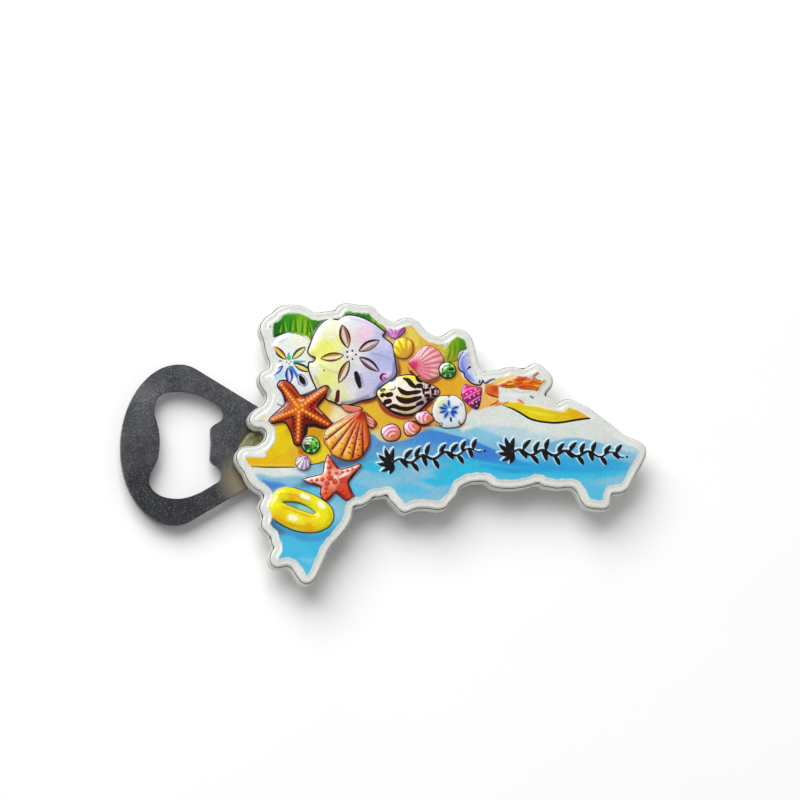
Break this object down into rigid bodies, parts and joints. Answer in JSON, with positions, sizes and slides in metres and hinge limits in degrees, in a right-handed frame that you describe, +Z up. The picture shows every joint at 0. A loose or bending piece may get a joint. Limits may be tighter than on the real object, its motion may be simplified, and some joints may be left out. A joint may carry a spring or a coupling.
{
  "type": "souvenir bottle opener",
  "caption": "Coastline-shaped souvenir board with an embossed printed seashell face, a stamped steel bottle opener plate bonded under one end and disc magnets on its back.",
  "frame": {"origin": "centre of the bounding box on the plane the magnets rest on", "axes": "+Z up out of the printed face, +X from the opener's head towards the far end of the board"},
  "size_m": [0.1402, 0.0758, 0.0113],
  "materials": {
    "printed_foil": "glossy embossed printed film over white",
    "face_bond": "clear-drying bond",
    "board_white": "semi-matt white",
    "opener_steel": "dark tumbled satin with fine grain",
    "adhesive": "glossy, olive where squeezed out",
    "ferrite": "matt sintered black"
  },
  "bodies": {
    "root": {"printed_face": "printed_foil", "face_adhesive": "face_bond", "board": "board_white", "opener_plate": "opener_steel", "plate_adhesive": "adhesive", "magnet_upper": "ferrite", "magnet_lower": "ferrite", "magnet_right": "ferrite", "magnet_adhesive_upper": "adhesive", "magnet_adhesive_lower": "adhesive", "magnet_adhesive_right": "adhesive"}
  },
  "joints": []
}
